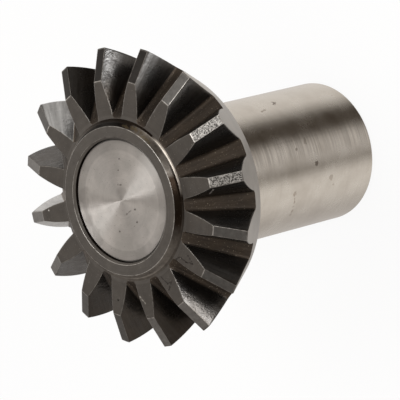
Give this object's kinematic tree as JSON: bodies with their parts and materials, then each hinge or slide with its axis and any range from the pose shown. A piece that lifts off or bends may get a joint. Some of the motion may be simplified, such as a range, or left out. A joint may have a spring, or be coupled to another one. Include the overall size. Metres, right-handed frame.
{
  "type": "bevel side gear",
  "caption": "Straight bevel differential side gear with a long ground hub, a splined bore for the half-shaft and a turned disc pressed in to close the front.",
  "frame": {"origin": "centre of the hub's end face, on which the gear stands", "axes": "+Z along the gear's axis towards the small ends of the teeth, a tooth gap centred on +X"},
  "size_m": [0.1038, 0.1038, 0.106],
  "materials": {
    "gear_steel": "heat-treated dark grey teeth, bright ground hub",
    "turned_steel": "bright, fine turned"
  },
  "bodies": {
    "root": {"side_gear": "gear_steel", "bore_plug": "turned_steel"}
  },
  "joints": []
}
